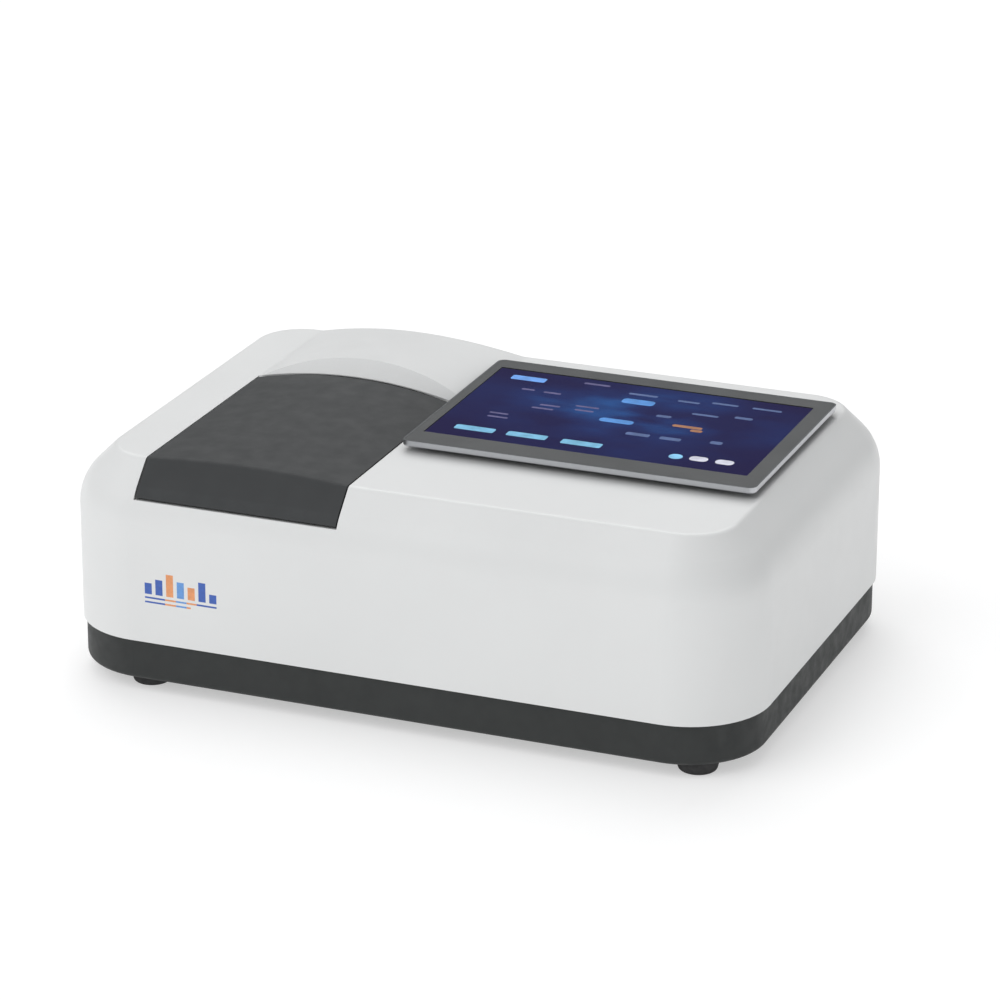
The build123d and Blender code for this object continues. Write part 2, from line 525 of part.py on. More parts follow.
COVER_T = 3.0
with BuildPart() as monochromator_cover:
    block(MONO_X, MONO_Y, (MONO_TOP, MONO_TOP + COVER_T))
    fillet(monochromator_cover.edges().filter_by(Axis.Z), 6)
    rod((GRATING_X, GRATING_Y, MONO_TOP), MOTOR_SHAFT_R + 0.7, COVER_T, mode=Mode.SUBTRACT)
monochromator_cover.part.label = "monochromator_cover"
export_step(monochromator_cover.part, "parts/monochromator_cover.step")

with BuildPart() as slit_plates:
    for x, y in ((MONO_X[0] - 1.2, BEAM_Y), (MONO_X[1], INLET_Y)):
        block((x, x + 1.2), around(y, 9), around(BEAM_Z, 9))
        block((x, x + 1.2), around(y, 0.5), around(BEAM_Z, 4), Mode.SUBTRACT)
slit_plates.part.label = "slit_plates"
export_step(slit_plates.part, "parts/slit_plates.step")

MIRROR_R, MIRROR_T = 12.0, 5.0
MIRRORS = {
    "collimating_mirror": (MONO_X[0] + 12, INLET_Y, 1),
    "focusing_mirror": (MONO_X[0] + 12, (INLET_Y + BEAM_Y) / 2 - 12, 1),
    "folding_mirror": (MONO_X[1] - 12, BEAM_Y, -1),
}
for name, (x, y, facing) in MIRRORS.items():
    with BuildPart() as mirror_stand:
        rod((x - MIRROR_T / 2, y, BEAM_Z), MIRROR_R, MIRROR_T, "X")
        back = (x - 7, x - 1) if facing > 0 else (x + 1, x + 7)
        block(back, around(y, 8), (DECK_Z + MONO_WALL, BEAM_Z))
        block(around(x, 7), around(y, 8), (DECK_Z + MONO_WALL, DECK_Z + MONO_WALL + 6))
    mirror_stand.part.label = name
    export_step(mirror_stand.part, f"parts/{name}.step")

GRATING_T, TABLE_T = 6.0, 4.0
with BuildPart() as grating_table:
    for z in (BEAM_Z - 18, BEAM_Z + 14):
        rod((GRATING_X, GRATING_Y, z), 13, TABLE_T)
    block((GRATING_X, GRATING_X + 4), around(GRATING_Y, 11), (BEAM_Z - 18, BEAM_Z + 18))
    rod((GRATING_X, GRATING_Y, BEAM_Z + 18), MOTOR_SHAFT_R, MONO_TOP + COVER_T + SHAFT_REACH - BEAM_Z - 18)
grating_table.part.label = "grating_table"
export_step(grating_table.part, "parts/grating_table.step")

with BuildPart() as grating:
    block((GRATING_X - GRATING_T, GRATING_X), around(GRATING_Y, 10), (BEAM_Z - 14, BEAM_Z + 14))
grating.part.label = "grating"
export_step(grating.part, "parts/grating.step")

with BuildPart() as grating_motor:
    motor_z = (MONO_TOP + COVER_T, MONO_TOP + COVER_T + MOTOR_SIDE)
    block(around(GRATING_X, MOTOR_SIDE / 2), around(GRATING_Y, MOTOR_SIDE / 2), motor_z)
    chamfer(grating_motor.edges().filter_by(Axis.Z), 2.5)
    rod((GRATING_X, GRATING_Y, motor_z[0]), MOTOR_SHAFT_R + RUN_GAP, SHAFT_REACH + 1, mode=Mode.SUBTRACT)
grating_motor.part.label = "grating_motor"
export_step(grating_motor.part, "parts/grating_motor.step")

# ---------------------------------------------------------------- filter wheel
WHEEL_T, FILTER_R, FILTER_T = 3.0, 6.0, 2.0
FILTER_ANGLES = [360 * place / FILTERS for place in range(1, FILTERS)]
with BuildPart() as filter_wheel:
    rod((WHEEL_X, WHEEL_Y, BEAM_Z), WHEEL_R, WHEEL_T, "X")
    rod((WHEEL_X - 2.5, WHEEL_Y, BEAM_Z), 7, 2.5, "X")
    for angle in [0, *FILTER_ANGLES]:
        y = WHEEL_Y - WHEEL_PITCH_R * cos(radians(angle))
        z = BEAM_Z + WHEEL_PITCH_R * sin(radians(angle))
        rod((WHEEL_X, y, z), FILTER_R, WHEEL_T, "X", Mode.SUBTRACT)
    rod((WHEEL_X - 2.5 - SHAFT_REACH, WHEEL_Y, BEAM_Z), MOTOR_SHAFT_R, SHAFT_REACH, "X")
filter_wheel.part.label = "filter_wheel"
export_step(filter_wheel.part, "parts/filter_wheel.step")

with BuildPart() as order_filters:
    for angle in FILTER_ANGLES:
        y = WHEEL_Y - WHEEL_PITCH_R * cos(radians(angle))
        z = BEAM_Z + WHEEL_PITCH_R * sin(radians(angle))
        rod((WHEEL_X + 0.5, y, z), FILTER_R, FILTER_T, "X")
order_filters.part.label = "order_filters"
export_step(order_filters.part, "parts/order_filters.step")

with BuildPart() as filter_motor:
    motor_x = (MONO_X[1], MONO_X[1] + MOTOR_SIDE)
    block(motor_x, around(WHEEL_Y, MOTOR_SIDE / 2), around(BEAM_Z, MOTOR_SIDE / 2))
    chamfer(filter_motor.edges().filter_by(Axis.X), 2.5)
    bore_l = SHAFT_REACH + 1
    rod((motor_x[1] - bore_l, WHEEL_Y, BEAM_Z), MOTOR_SHAFT_R + RUN_GAP, bore_l, "X", Mode.SUBTRACT)
filter_motor.part.label = "filter_motor"
export_step(filter_motor.part, "parts/filter_motor.step")

# ---------------------------------------------------------------- lamp house
SHEET_T = 2.0
with BuildPart() as lamp_house:
    block(LAMP_X, LAMP_Y, (DECK_Z, LAMP_TOP))
    block(grown(LAMP_X, -SHEET_T), grown(LAMP_Y, -SHEET_T), (DECK_Z + SHEET_T, LAMP_TOP), Mode.SUBTRACT)
    rod((LAMP_X[0], INLET_Y, BEAM_Z), 8, SHEET_T, "X", Mode.SUBTRACT)
    for row in range(8):
        slot_y = around(LAMP_Y[0] + 14 + row * 11.5, 2)
        block((LAMP_X[1] - SHEET_T, LAMP_X[1]), slot_y, (DECK_Z + 20, LAMP_TOP - 15), Mode.SUBTRACT)
lamp_house.part.label = "lamp_house"
export_step(lamp_house.part, "parts/lamp_house.step")

with BuildPart() as lamp_cover:
    block(LAMP_X, LAMP_Y, (LAMP_TOP, LAMP_TOP + SHEET_T))
    rod((SELECTOR_X, INLET_Y, LAMP_TOP), MOTOR_SHAFT_R + 0.7, SHEET_T, mode=Mode.SUBTRACT)
lamp_cover.part.label = "lamp_cover"
export_step(lamp_cover.part, "parts/lamp_cover.step")

LAMP_FLOOR = DECK_Z + SHEET_T
with BuildPart() as deuterium_lamp:
    rod((SELECTOR_X, INLET_Y - LAMP_SPREAD - 9, LAMP_FLOOR), 13, 16)
    rod((SELECTOR_X, INLET_Y - LAMP_SPREAD - 9, LAMP_FLOOR + 16), 11, 44)
    fillet(deuterium_lamp.edges().sort_by(Axis.Z)[-1], 10)
deuterium_lamp.part.label = "deuterium_lamp"
export_step(deuterium_lamp.part, "parts/deuterium_lamp.step")

with BuildPart() as tungsten_lamp:
    block(around(SELECTOR_X, 7), around(INLET_Y + LAMP_SPREAD - 9, 5), (LAMP_FLOOR, BEAM_Z - 16))
    rod((SELECTOR_X, INLET_Y + LAMP_SPREAD - 9, BEAM_Z - 16), 5, 26)
    fillet(tungsten_lamp.edges().sort_by(Axis.Z)[-1], 4.5)
tungsten_lamp.part.label = "tungsten_lamp"
export_step(tungsten_lamp.part, "parts/tungsten_lamp.step")

with BuildPart() as source_mirror:
    with Locations(Location((SELECTOR_X, INLET_Y, BEAM_Z), (0, 0, 45))):
        Box(22, 3, 28)
    rod((SELECTOR_X, INLET_Y, BEAM_Z + 14), 8, 4)
    rod((SELECTOR_X, INLET_Y, BEAM_Z + 18), MOTOR_SHAFT_R, LAMP_TOP + SHEET_T + SHAFT_REACH - BEAM_Z - 18)
source_mirror.part.label = "source_mirror"
export_step(source_mirror.part, "parts/source_mirror.step")

with BuildPart() as source_motor:
    motor_z = (LAMP_TOP + SHEET_T, LAMP_TOP + SHEET_T + MOTOR_SIDE)
    block(around(SELECTOR_X, MOTOR_SIDE / 2), around(INLET_Y, MOTOR_SIDE / 2), motor_z)
    chamfer(source_motor.edges().filter_by(Axis.Z), 2.5)
    rod((SELECTOR_X, INLET_Y, motor_z[0]), MOTOR_SHAFT_R + RUN_GAP, SHAFT_REACH + 1, mode=Mode.SUBTRACT)
source_motor.part.label = "source_motor"
export_step(source_motor.part, "parts/source_motor.step")

# ---------------------------------------------------------------- rear panel, fan, mains parts and boards
FAN_Y = (PANEL_Y[0] - FAN_DEPTH, PANEL_Y[0])
SOCKET_HALF = (14.0, 10.5)
SWITCH_HALF = (9.0, 13.0)
with BuildPart() as rear_panel:
    block((-PANEL_X, PANEL_X), PANEL_Y, PANEL_Z)
    rod((FAN_X, PANEL_Y[0], FAN_Z), FAN_BORE, PANEL_T, "Y", Mode.SUBTRACT)
    block(around(INLET_X, SOCKET_HALF[0]), PANEL_Y, around(POWER_Z, SOCKET_HALF[1]), Mode.SUBTRACT)
    block(around(SWITCH_X, SWITCH_HALF[0]), PANEL_Y, around(POWER_Z, SWITCH_HALF[1]), Mode.SUBTRACT)
    for x, width, height in PORTS:
        block(around(x, width / 2), PANEL_Y, (BOARD_Z + BOARD_T, BOARD_Z + BOARD_T + height), Mode.SUBTRACT)
    for column in range(12):
        x = -60 + column * 12
        block(around(x, 2), PANEL_Y, (78, 100), Mode.SUBTRACT)
    for x, z in PANEL_SCREWS:
        rod((x, PANEL_Y[0], z), SCREW_R, PANEL_T, "Y", Mode.SUBTRACT)
rear_panel.part.label = "rear_panel"
export_step(rear_panel.part, "parts/rear_panel.step")

with BuildPart() as fan_frame:
    block(around(FAN_X, FAN_SIDE / 2), FAN_Y, around(FAN_Z, FAN_SIDE / 2))
    fillet(fan_frame.edges().filter_by(Axis.Y), 4)
    rod((FAN_X, FAN_Y[0], FAN_Z), FAN_BORE, FAN_DEPTH, "Y", Mode.SUBTRACT)
    rod((FAN_X, FAN_Y[0], FAN_Z), 11, 3, "Y")
    block(around(FAN_X, FAN_BORE + 0.5), (FAN_Y[0], FAN_Y[0] + 3), around(FAN_Z, 2))
    block(around(FAN_X, 2), (FAN_Y[0], FAN_Y[0] + 3), around(FAN_Z, FAN_BORE + 0.5))
    rod((FAN_X, FAN_Y[0], FAN_Z), 1.5 + RUN_GAP, 3, "Y", Mode.SUBTRACT)
fan_frame.part.label = "fan_frame"
export_step(fan_frame.part, "parts/fan_frame.step")

with BuildPart() as fan_impeller:
    rod((FAN_X, FAN_Y[0] + 4, FAN_Z), 12, 18, "Y")
    rod((FAN_X, FAN_Y[0] + 1, FAN_Z), 1.5, 3, "Y")
    for blade in range(BLADES):
        turn = Location((FAN_X, FAN_Y[0] + 13, FAN_Z), (0, 360 * blade / BLADES, 0))
        with Locations(turn * Location((18.5, 0, 0), (38, 0, 0))):
            Box(15, 1.6, 14)
fan_impeller.part.label = "fan_impeller"
export_step(fan_impeller.part, "parts/fan_impeller.step")

GUARD_Y = (PANEL_Y[1], PANEL_Y[1] + 2)
with BuildPart() as fan_guard:
    for ring_r in (28.5, 21.5, 14.5, 7.5):
        rod((FAN_X, GUARD_Y[0], FAN_Z), ring_r, 2, "Y")
        rod((FAN_X, GUARD_Y[0], FAN_Z), ring_r - 1.5, 2, "Y", Mode.SUBTRACT)
    for turn in (45, 135):
        with Locations(Location((FAN_X, PANEL_Y[1] + 1, FAN_Z), (0, turn, 0))):
            Box(72, 2, 2)
    rod((FAN_X, GUARD_Y[0], FAN_Z), 6, 2, "Y", Mode.SUBTRACT)
fan_guard.part.label = "fan_guard"
export_step(fan_guard.part, "parts/fan_guard.step")

INLET_PINS = ((-7.0, -2.0), (0.0, 2.0), (7.0, -2.0))
with BuildPart() as mains_inlet:
    block(around(INLET_X, SOCKET_HALF[0]), (PANEL_Y[0] - 18, PANEL_Y[1]), around(POWER_Z, SOCKET_HALF[1]))
    block(around(INLET_X, 24), (PANEL_Y[1], PANEL_Y[1] + 2.5), around(POWER_Z, 13))
    block(around(INLET_X, 12), (PANEL_Y[0] - 14, PANEL_Y[1] + 3), around(POWER_Z, 8), Mode.SUBTRACT)
    for x, z in INLET_PINS:
        pin_y = (PANEL_Y[0] - 18, PANEL_Y[0] - 14)
        block(around(INLET_X + x, 1), pin_y, around(POWER_Z + z, 2), Mode.SUBTRACT)
mains_inlet.part.label = "mains_inlet"
export_step(mains_inlet.part, "parts/mains_inlet.step")

with BuildPart() as inlet_pins:
    for x, z in INLET_PINS:
        block(around(INLET_X + x, 1), (PANEL_Y[0] - 22, PANEL_Y[0] - 3), around(POWER_Z + z, 2))
inlet_pins.part.label = "inlet_pins"
export_step(inlet_pins.part, "parts/inlet_pins.step")

ROCKER_Y, ROCKER_TILT = PANEL_Y[1] - 4, 8.0
ROCKER_OUTLINE = ((5.2, 8.5), (3.2, 0), (5.2, -8.5), (-3, -6), (-3, 6))
with BuildPart() as power_switch:
    block(around(SWITCH_X, SWITCH_HALF[0]), (PANEL_Y[0] - 16, PANEL_Y[1]), around(POWER_Z, SWITCH_HALF[1]))
    block(around(SWITCH_X, 10.5), (PANEL_Y[1], PANEL_Y[1] + 1.5), around(POWER_Z, 15))
    block(around(SWITCH_X, 6.2), (PANEL_Y[0] - 12, PANEL_Y[1] + 2), around(POWER_Z, 9.7), Mode.SUBTRACT)
    rod((SWITCH_X - 8, ROCKER_Y, POWER_Z), 1.5 + RUN_GAP, 16, "X", Mode.SUBTRACT)
power_switch.part.label = "power_switch"
export_step(power_switch.part, "parts/power_switch.step")

rocker_plane = Plane(
    origin=(SWITCH_X - 6, ROCKER_Y, POWER_Z),
    x_dir=(0, cos(radians(ROCKER_TILT)), sin(radians(ROCKER_TILT))),
    z_dir=(1, 0, 0),
)
with BuildPart() as power_rocker:
    with BuildSketch(rocker_plane):
        with BuildLine():
            Polyline(*ROCKER_OUTLINE, close=True)
        make_face()
    extrude(amount=12)
    rod((SWITCH_X - 8, ROCKER_Y, POWER_Z), 1.5, 16, "X")
power_rocker.part.label = "power_rocker"
export_step(power_rocker.part, "parts/power_rocker.step")

with BuildPart() as main_board:
    block(BOARD_X, BOARD_Y, (BOARD_Z, BOARD_Z + BOARD_T))
    block((10, 34), (88, 112), (BOARD_Z + BOARD_T, BOARD_Z + 5))
    block((48, 62), (92, 112), (BOARD_Z + BOARD_T, BOARD_Z + 4))
    block((76, 90), (92, 112), (BOARD_Z + BOARD_T, BOARD_Z + 4))
main_board.part.label = "main_board"
export_step(main_board.part, "parts/main_board.step")

with BuildPart() as board_standoffs:
    for x in grown(BOARD_X, -6):
        for y in grown(BOARD_Y, -6):
            rod((x, y, FLOOR_Z), 3, BOARD_Z - FLOOR_Z)
board_standoffs.part.label = "board_standoffs"
export_step(board_standoffs.part, "parts/board_standoffs.step")

with BuildPart() as data_ports:
    for x, width, height in PORTS:
        port_z = (BOARD_Z + BOARD_T, BOARD_Z + BOARD_T + height)
        block(around(x, width / 2), (BOARD_Y[1] - 12, PANEL_Y[1] + 0.5), port_z)
        mouth, tongue_z = grown(port_z, -0.8), around(sum(port_z) / 2, height / 7)
        block(around(x, width / 2 - 0.8), (BOARD_Y[1] - 4, PANEL_Y[1] + 1), mouth, Mode.SUBTRACT)
        block(around(x, width / 2 - 2.5), (BOARD_Y[1] - 4, PANEL_Y[1] - 1), tongue_z)
data_ports.part.label = "data_ports"
export_step(data_ports.part, "parts/data_ports.step")

with BuildPart() as power_supply:
    block((-196, -76), (64, 126), (FLOOR_Z, FLOOR_Z + 46))
    for row in range(9):
        block((-186 + row * 12, -182 + row * 12), (74, 116), (FLOOR_Z + 45, FLOOR_Z + 46), Mode.SUBTRACT)
power_supply.part.label = "power_supply"
export_step(power_supply.part, "parts/power_supply.step")

with BuildPart() as panel_screws:
    for x, z in PANEL_SCREWS:
        rod((x, PANEL_Y[1] + 1.4, z), PANEL_HEAD_R, WALL - 1.4, "Y")
        rod((x, PANEL_Y[0] - 4, z), SCREW_R, PANEL_T + 5.4, "Y")
    with BuildSketch(Plane.XZ.offset(-BODY_D / 2)):
        with Locations(*PANEL_SCREWS):
            RegularPolygon(SOCKET_R, 6)
    extrude(amount=SOCKET_DEPTH, mode=Mode.SUBTRACT)
panel_screws.part.label = "panel_screws"
export_step(panel_screws.part, "parts/panel_screws.step")

# ---------------------------------------------------------------- display
with BuildPart() as display_mount:
    block(grown(DISPLAY_X, -12), grown(DISPLAY_Y, -12), (TOP_Z, FRAME_Z))
display_mount.part.label = "display_mount"
export_step(display_mount.part, "parts/display_mount.step")

EDGE_T, POCKET_FLOOR = 1.0, 0.8
GLASS_Z = DISPLAY_TOP - GLASS_T
with BuildPart() as display_frame:
    with BuildSketch(Plane.XY.offset(FRAME_Z)):
        with Locations((DISPLAY_CX, DISPLAY_CY)):
            RectangleRounded(DISPLAY_W, DISPLAY_D, DISPLAY_R)
    extrude(amount=DISPLAY_EDGE)
    fillet(display_frame.edges().group_by(Axis.Z)[0], 1)
    with BuildSketch(Plane.XY.offset(FRAME_Z + POCKET_FLOOR)):
        with Locations((DISPLAY_CX, DISPLAY_CY)):
            RectangleRounded(DISPLAY_W - 2 * EDGE_T, DISPLAY_D - 2 * EDGE_T, DISPLAY_R - EDGE_T)
    extrude(amount=DISPLAY_EDGE, mode=Mode.SUBTRACT)
display_frame.part.label = "display_frame"
export_step(display_frame.part, "parts/display_frame.step")

with BuildPart() as lcd_panel:
    pocket_z = (FRAME_Z + POCKET_FLOOR, GLASS_Z)
    block(around(ACTIVE_X, ACTIVE_W / 2 + 4), around(ACTIVE_Y, ACTIVE_D / 2 + 4), pocket_z)
lcd_panel.part.label = "lcd_panel"
export_step(lcd_panel.part, "parts/lcd_panel.step")

with BuildPart() as display_bezel:
    with BuildSketch(Plane.XY.offset(GLASS_Z)):
        with Locations((DISPLAY_CX, DISPLAY_CY)):
            RectangleRounded(DISPLAY_W - 2 * EDGE_T, DISPLAY_D - 2 * EDGE_T, DISPLAY_R - EDGE_T)
        with Locations((ACTIVE_X, ACTIVE_Y)):
            Rectangle(ACTIVE_W, ACTIVE_D, mode=Mode.SUBTRACT)
    extrude(amount=GLASS_T)
display_bezel.part.label = "display_bezel"
export_step(display_bezel.part, "parts/display_bezel.step")

with BuildPart() as touch_glass:
    block(around(ACTIVE_X, ACTIVE_W / 2), around(ACTIVE_Y, ACTIVE_D / 2), (GLASS_Z, DISPLAY_TOP))
touch_glass.part.label = "touch_glass"
export_step(touch_glass.part, "parts/touch_glass.step")
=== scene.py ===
"""Looks of a benchtop UV-visible spectrophotometer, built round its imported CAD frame.

Metres, +Z up, +X to the operator's right, +Y to the back. Sizes below are millimetres times MM.
"""

import json
import math

import bmesh
import bpy
from mathutils import Matrix, Vector


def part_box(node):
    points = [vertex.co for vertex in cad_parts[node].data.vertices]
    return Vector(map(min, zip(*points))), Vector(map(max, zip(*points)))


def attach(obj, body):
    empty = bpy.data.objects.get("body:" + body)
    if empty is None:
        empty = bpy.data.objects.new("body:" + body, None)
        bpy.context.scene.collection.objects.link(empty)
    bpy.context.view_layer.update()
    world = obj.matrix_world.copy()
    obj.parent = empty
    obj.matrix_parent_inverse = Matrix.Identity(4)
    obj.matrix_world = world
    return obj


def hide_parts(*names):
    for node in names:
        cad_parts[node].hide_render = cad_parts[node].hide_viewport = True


MM = 0.001
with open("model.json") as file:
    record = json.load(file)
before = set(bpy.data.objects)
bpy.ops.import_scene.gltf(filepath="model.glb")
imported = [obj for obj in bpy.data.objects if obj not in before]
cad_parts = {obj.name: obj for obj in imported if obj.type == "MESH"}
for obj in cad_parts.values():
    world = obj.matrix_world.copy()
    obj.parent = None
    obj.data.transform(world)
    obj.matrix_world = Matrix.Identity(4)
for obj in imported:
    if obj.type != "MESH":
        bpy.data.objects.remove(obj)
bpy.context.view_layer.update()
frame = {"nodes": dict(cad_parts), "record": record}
NODES = frame["nodes"]
scene = bpy.context.scene


# ------------------------------------------------------------------ camera, floor and light
CAMERA_TARGET = Vector((10.67, 0.0, 101.455)) * MM
CAMERA_AZIMUTH, CAMERA_ELEVATION, CAMERA_ROLL = (math.radians(a) for a in (21.589, 20.747, 0.182))
CAMERA_DISTANCE = 2754.7 * MM
CAMERA_LENS = 152.95
FLOOR_HALF = 14.0  # wide enough to fill the view to its top edge
SUN_SPREAD = 50.0  # degrees, so that the shadows stay soft


def make_camera():
    """The photograph's viewpoint: from the front, a little to the right, looking down."""
    a, e = CAMERA_AZIMUTH, CAMERA_ELEVATION
    back = Vector((math.sin(a) * math.cos(e), -math.cos(a) * math.cos(e), math.sin(e)))
    data = bpy.data.cameras.new("camera")
    data.lens, data.sensor_width = CAMERA_LENS, 36.0
    data.clip_start, data.clip_end = 0.05, 60.0
    camera = bpy.data.objects.new("camera", data)
    camera.rotation_mode = "QUATERNION"
    camera.location = CAMERA_TARGET + back * CAMERA_DISTANCE
    look = (-back).to_track_quat("-Z", "Y")
    camera.rotation_quaternion = look @ Matrix.Rotation(CAMERA_ROLL, 3, "Z").to_quaternion()
    scene.collection.objects.link(camera)
    scene.camera = camera


def soft_sun(name, towards, strength):
    """Wide even light that comes from a direction."""
    data = bpy.data.lights.new(name, "SUN")
    data.angle, data.energy = math.radians(SUN_SPREAD), strength
    light = bpy.data.objects.new(name, data)
    light.rotation_mode = "QUATERNION"
    light.rotation_quaternion = Vector(towards).to_track_quat("Z", "Y")
    scene.collection.objects.link(light)


def make_surround():
    """A soft grey room, dimmer behind the object than in front of it."""
    world = bpy.data.worlds.new("surround")
    world.use_nodes = True
    tree = world.node_tree
    place = tree.nodes.new("ShaderNodeTexCoord")
    split = tree.nodes.new("ShaderNodeSeparateXYZ")
    tree.links.new(place.outputs["Generated"], split.inputs["Vector"])
    ramp = tree.nodes.new("ShaderNodeMapRange")
    for socket, value in (("From Min", -0.8), ("From Max", 0.8), ("To Min", 0.76), ("To Max", 0.3)):
        ramp.inputs[socket].default_value = value
    tree.links.new(split.outputs["Y"], ramp.inputs["Value"])
    background = tree.nodes["Background"]
    background.inputs["Color"].default_value = (0.985, 0.99, 1.0, 1)
    tree.links.new(ramp.outputs["Result"], background.inputs["Strength"])
    return world


def make_studio():
    """A pale floor, a bright even surround and two soft lights, from the front left and from behind."""
    mesh = bpy.data.meshes.new("floor")
    corners = [(x * FLOOR_HALF, y * FLOOR_HALF, 0) for x, y in ((-1, -1), (1, -1), (1, 1), (-1, 1))]
    mesh.from_pydata(corners, [], [(0, 1, 2, 3)])
    floor = bpy.data.objects.new("floor", mesh)
    scene.collection.objects.link(floor)
    floor_material = bpy.data.materials.new("floor")
    floor_material.use_nodes = True
    shader = floor_material.node_tree.nodes["Principled BSDF"]
    shader.inputs["Base Color"].default_value = (0.62, 0.62, 0.62, 1)
    shader.inputs["Emission Color"].default_value = (1, 1, 1, 1)
    shader.inputs["Emission Strength"].default_value = 0.46
    shader.inputs["Roughness"].default_value = 0.9
    shader.inputs["Specular IOR Level"].default_value = 0.0
    mesh.materials.append(floor_material)

    scene.world = make_surround()
    soft_sun("key", (-0.5, -0.5, 0.7), 0.7)
    soft_sun("top", (-0.25, 0.6, 0.76), 1.2)
    scene.view_settings.view_transform = "Standard"


# ------------------------------------------------------------------ materials
class Material:
    """A procedural material: one Principled shader, with texture nodes added by the methods below."""

    def __init__(self, name, colour, roughness, metallic=0.0, **sockets):
        self.block = bpy.data.materials.new(name)
        self.block.use_nodes = True
        self.tree = self.block.node_tree
        self.shader = self.tree.nodes["Principled BSDF"]
        self.colour = (*colour, 1.0)
        self.set("Base Color", self.colour)
        self.set("Roughness", roughness)
        self.set("Metallic", metallic)
        for socket, value in sockets.items():
            self.set(socket.replace("_", " "), value)
        self.place = self.node("ShaderNodeTexCoord").outputs["Object"]
        self.height = None

    def node(self, kind, **settings):
        """Add a node of a kind, with its settings."""
        made = self.tree.nodes.new(kind)
        for key, value in settings.items():
            setattr(made, key, value)
        return made

    def link(self, source, target):
        """Join an output to an input."""
        self.tree.links.new(source, target)

    def set(self, socket, value):
        """Give one of the shader's own inputs a value."""
        self.shader.inputs[socket].default_value = value

    def noise(self, size, detail=2.0, stretch=(1, 1, 1)):
        """Noise whose features are about size metres across, drawn out along an axis by stretch."""
        mapping = self.node("ShaderNodeMapping")
        mapping.inputs["Scale"].default_value = [1 / (size * s) for s in stretch]
        self.link(self.place, mapping.inputs["Vector"])
        noise = self.node("ShaderNodeTexNoise")
        noise.inputs["Scale"].default_value = 1.0
        noise.inputs["Detail"].default_value = detail
        self.link(mapping.outputs["Vector"], noise.inputs["Vector"])
        return noise.outputs["Fac"]

    def spread(self, factor, low, high, start=0.3, end=0.7):
        """Turn a factor into a number between low and high."""
        ramp = self.node("ShaderNodeMapRange", clamp=True)
        for socket, value in (("From Min", start), ("From Max", end), ("To Min", low), ("To Max", high)):
            ramp.inputs[socket].default_value = value
        self.link(factor, ramp.inputs["Value"])
        return ramp.outputs["Result"]

    def mottle(self, size, amount, **noise):
        """Lighten and darken the colour a little in patches."""
        mix = self.node("ShaderNodeMix", data_type="RGBA", blend_type="MULTIPLY")
        mix.inputs["Factor"].default_value = 1.0
        shade = self.spread(self.noise(size, **noise), 1 - amount, 1 + amount)
        grey = self.node("ShaderNodeCombineColor")
        for channel in ("Red", "Green", "Blue"):
            self.link(shade, grey.inputs[channel])
        self.base_to(mix.inputs["A"])
        self.link(grey.outputs["Color"], mix.inputs["B"])
        self.link(mix.outputs["Result"], self.shader.inputs["Base Color"])
        return self

    def base_to(self, socket):
        """Feed the colour made so far into a socket."""
        links = self.shader.inputs["Base Color"].links
        if links:
            self.link(links[0].from_socket, socket)
        else:
            socket.default_value = self.colour

    def tint(self, factor, colour):
        """Blend towards another colour by a factor."""
        mix = self.node("ShaderNodeMix", data_type="RGBA")
        self.link(factor, mix.inputs["Factor"])
        self.base_to(mix.inputs["A"])
        mix.inputs["B"].default_value = (*colour, 1.0)
        self.link(mix.outputs["Result"], self.shader.inputs["Base Color"])
        return self

    def gloss(self, size, low, high, **noise):
        """Let the roughness wander between two values."""
        self.link(self.spread(self.noise(size, **noise), low, high), self.shader.inputs["Roughness"])
        return self

    def relief(self, size, depth, **noise):
        """Bump of a given height in metres. Reliefs stack."""
        bump = self.node("ShaderNodeBump")
        bump.inputs["Strength"].default_value = 1.0
        bump.inputs["Distance"].default_value = depth
        self.link(self.noise(size, **noise), bump.inputs["Height"])
        if self.height is not None:
            self.link(self.height, bump.inputs["Normal"])
        self.height = bump.outputs["Normal"]
        self.link(self.height, self.shader.inputs["Normal"])
        return self

    def painted_recess_shade(self, reach, amount):
        """Paint shade into inside corners: darken the colour where ambient occlusion finds nearby surfaces.
        """
        shade = self.node("ShaderNodeAmbientOcclusion", samples=4)
        shade.inputs["Distance"].default_value = reach
        dark = self.spread(shade.outputs["AO"], amount, 0.0, 0.3, 0.93)
        # The painted shade blends towards the base colour at 45 percent of its brightness.
        return self.tint(dark, tuple(c * 0.45 for c in self.colour[:3]))

    def facing_up(self):
        """1 on faces that look straight up, 0 on upright ones."""
        split = self.node("ShaderNodeSeparateXYZ")
        self.link(self.node("ShaderNodeNewGeometry").outputs["Normal"], split.inputs["Vector"])
        return self.spread(split.outputs["Z"], 0.0, 1.0, 0.6, 0.9)

    def edge_wear(self, size, amount, colour):
        """Rub convex edges towards a lighter colour, unevenly."""
        geometry = self.node("ShaderNodeNewGeometry")
        edge = self.spread(geometry.outputs["Pointiness"], 0.0, amount, 0.53, 0.62)
        worn = self.node("ShaderNodeMath", operation="MULTIPLY")
        self.link(edge, worn.inputs[0])
        self.link(self.spread(self.noise(size, detail=4.0), 0.2, 1.0), worn.inputs[1])
        return self.tint(worn.outputs["Value"], colour)


